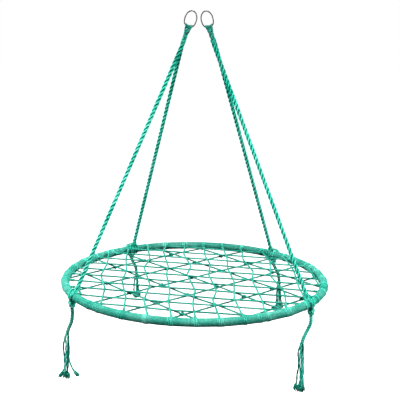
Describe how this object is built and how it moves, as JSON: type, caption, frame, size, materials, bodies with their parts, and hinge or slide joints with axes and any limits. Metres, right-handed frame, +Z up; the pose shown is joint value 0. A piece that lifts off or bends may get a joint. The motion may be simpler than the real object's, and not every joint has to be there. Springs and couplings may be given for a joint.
{
  "type": "saucer nest swing",
  "caption": "Round nest swing: a cord-bound steel hoop with a tied cord net, hung by twisted ropes from two oval rings, with loose rope tails below.",
  "frame": {"origin": "midway between the two hook spots, where a hook bears inside the top of each ring", "axes": "+Z up, +X to the right along the line through both rings, -Y towards the front ties, as it hangs level"},
  "size_m": [1.0044, 1.0039, 1.3217],
  "materials": {
    "ring_steel": "dull grey steel",
    "hoop_tube": "bare tube, hidden",
    "joint_steel": "machined, hidden",
    "tape": "cotton tape, hidden",
    "binding": "tightly wound fine cord with a soft sheen",
    "tie_cord": "wound cord",
    "net_cord": "twisted cord with a soft sheen",
    "brace_cord": "twisted cord, darker",
    "hitch_cord": "knotted cord",
    "rope": "three strand twisted rope with a soft sheen",
    "tail_rope": "twisted rope, strands apart at the end"
  },
  "bodies": {
    "rings": {"ring_left": "ring_steel", "ring_right": "ring_steel"},
    "seat": {"ring_hitch_left": "hitch_cord", "ring_hitch_right": "hitch_cord", "rope_front_left": "rope", "rope_front_right": "rope", "rope_back_left": "rope", "rope_back_right": "rope", "hoop_tube": "hoop_tube", "hoop_sleeve": "joint_steel", "hoop_pins": "joint_steel", "under_tape": "tape", "wrap_front": "binding", "wrap_right": "binding", "wrap_back": "binding", "wrap_left": "binding", "hoop_hitch_front_left": "hitch_cord", "hoop_hitch_front_right": "hitch_cord", "hoop_hitch_back_left": "hitch_cord", "hoop_hitch_back_right": "hitch_cord", "net_cross_01": "net_cord", "net_cross_02": "net_cord", "net_cross_03": "net_cord", "net_cross_04": "net_cord", "net_cross_05": "net_cord", "net_cross_06": "net_cord", "net_cross_07": "net_cord", "net_cross_08": "net_cord", "net_cross_09": "net_cord", "net_cross_10": "net_cord", "net_cross_11": "net_cord", "net_long_01": "net_cord", "net_long_02": "net_cord", "net_long_03": "net_cord", "net_long_04": "net_cord", "net_long_05": "net_cord", "net_long_06": "net_cord", "net_long_07": "net_cord", "net_long_08": "net_cord", "net_long_09": "net_cord", "net_long_10": "net_cord", "net_long_11": "net_cord", "net_long_12": "net_cord", "brace_a_01": "brace_cord", "brace_a_02": "brace_cord", "brace_a_03": "brace_cord", "brace_a_04": "brace_cord", "brace_a_05": "brace_cord", "brace_b_01": "brace_cord", "brace_b_02": "brace_cord", "brace_b_03": "brace_cord", "brace_b_04": "brace_cord", "brace_b_05": "brace_cord", "brace_b_06": "brace_cord", "brace_knots": "brace_cord", "net_ties": "tie_cord"},
    "tail_front_left": {"tail_front_left": "tail_rope"},
    "tail_front_right": {"tail_front_right": "tail_rope"},
    "tail_back_left": {"tail_back_left": "tail_rope"},
    "tail_back_right": {"tail_back_right": "tail_rope"}
  },
  "joints": [
    {"name": "swing", "type": "hinge", "parent": "rings", "child": "seat", "pos_m": [0, 0, -0.05335], "axis": [1, 0, 0], "range_deg": [-40, 40]},
    {"name": "tail_front_left_sway", "type": "hinge", "parent": "seat", "child": "tail_front_left", "pos_m": [-0.41111, -0.2721, -1.031], "axis": [1, 0, 0], "range_deg": [-40, 40]},
    {"name": "tail_front_right_sway", "type": "hinge", "parent": "seat", "child": "tail_front_right", "pos_m": [0.43119, -0.23901, -1.031], "axis": [1, 0, 0], "range_deg": [-40, 40]},
    {"name": "tail_back_left_sway", "type": "hinge", "parent": "seat", "child": "tail_back_left", "pos_m": [-0.30352, 0.38849, -1.031], "axis": [1, 0, 0], "range_deg": [-40, 40]},
    {"name": "tail_back_right_sway", "type": "hinge", "parent": "seat", "child": "tail_back_right", "pos_m": [0.29325, 0.3963, -1.031], "axis": [1, 0, 0], "range_deg": [-40, 40]}
  ]
}
